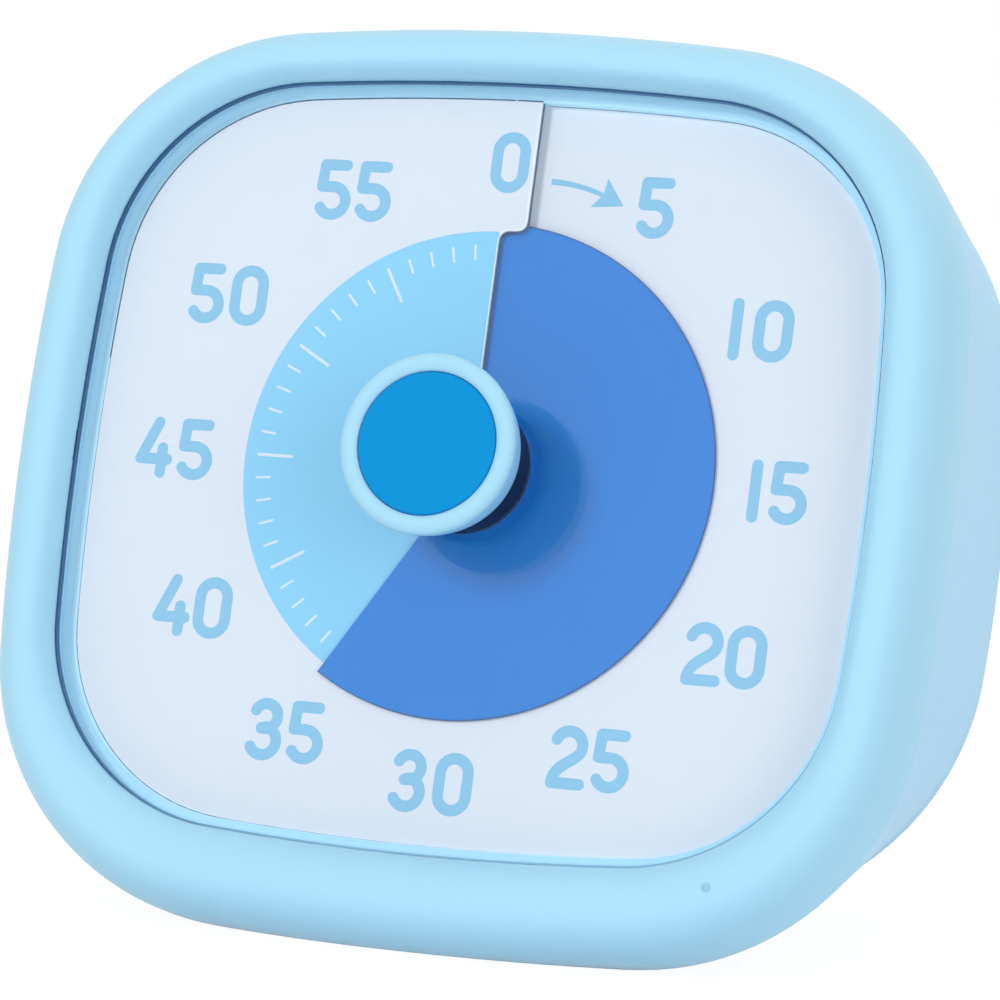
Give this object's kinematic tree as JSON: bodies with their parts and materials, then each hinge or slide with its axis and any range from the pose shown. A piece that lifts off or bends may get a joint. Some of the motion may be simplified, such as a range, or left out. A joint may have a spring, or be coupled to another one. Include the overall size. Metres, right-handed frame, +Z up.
{
  "type": "visual countdown timer",
  "caption": "Rounded-square visual countdown timer with a centre knob that turns a coloured disc up a helical dial, leaning back on a flat base.",
  "frame": {"origin": "middle of the flat base, on the surface that the timer stands on", "axes": "+Z up, the dial faces -Y and leans back towards +Y, +X to the reader's right"},
  "size_m": [0.0806, 0.0584, 0.0743],
  "materials": {
    "bezel": "satin light blue",
    "shell": "satin light blue",
    "door": "satin light blue",
    "lens": "clear acrylic",
    "dial": "printed white card",
    "film": "blue film",
    "knob": "satin pale blue",
    "cap": "bright blue",
    "collar": "black",
    "steel": "bright steel",
    "frame": "satin light blue",
    "movement": "black",
    "acetal": "natural acetal",
    "board": "green laminate",
    "buzzer": "black",
    "resin": "black resin",
    "can": "bright can",
    "slider": "black",
    "cell": "foil sleeve",
    "spring": "nickel plated",
    "lamp": "clear epoxy",
    "pipe": "clear"
  },
  "bodies": {
    "housing": {"front_bezel": "bezel", "rear_shell": "shell", "window_lens": "lens", "dial_plate": "dial", "inner_frame": "frame", "movement_front": "movement", "movement_back": "movement", "circuit_board": "board", "buzzer": "buzzer", "chip_cover": "resin", "crystal": "can", "switch_body": "can", "battery_cell": "cell", "contact_positive": "spring", "contact_negative": "spring", "indicator_led": "lamp", "light_pipe": "pipe", "housing_screws": "steel", "frame_screws": "steel", "movement_screws": "steel", "board_screws": "steel"},
    "knob": {"knob_ring": "knob", "knob_cap": "cap", "knob_collar": "collar", "spindle": "steel", "centre_wheel": "acetal"},
    "disc": {"time_disc": "film", "disc_hub": "film"},
    "door": {"battery_door": "door"},
    "slider": {"switch_slider": "slider"}
  },
  "joints": [
    {"name": "knob_turn", "type": "hinge", "parent": "housing", "child": "knob", "pos_m": [0, -0.00655, 0.03821], "axis": [0, 0.9613, -0.2756], "range_deg": [-211.8, 148.2]},
    {"name": "disc_climb", "type": "slide", "parent": "knob", "child": "disc", "axis": [0, -0.9613, 0.2756], "range_m": [-0.00076, 0.00054]},
    {"name": "battery_door_swing", "type": "hinge", "parent": "housing", "child": "door", "pos_m": [0, 0.0215, 0.01196], "axis": [-1, 0, 0], "range_deg": [0, 85]},
    {"name": "volume_slide", "type": "slide", "parent": "housing", "child": "slider", "axis": [1, 0, 0], "range_m": [-0.002, 0.002]}
  ],
  "couplings": [
    {"joint": "disc_climb", "follows": "knob_turn", "m_per_rad": 0.0002069}
  ]
}
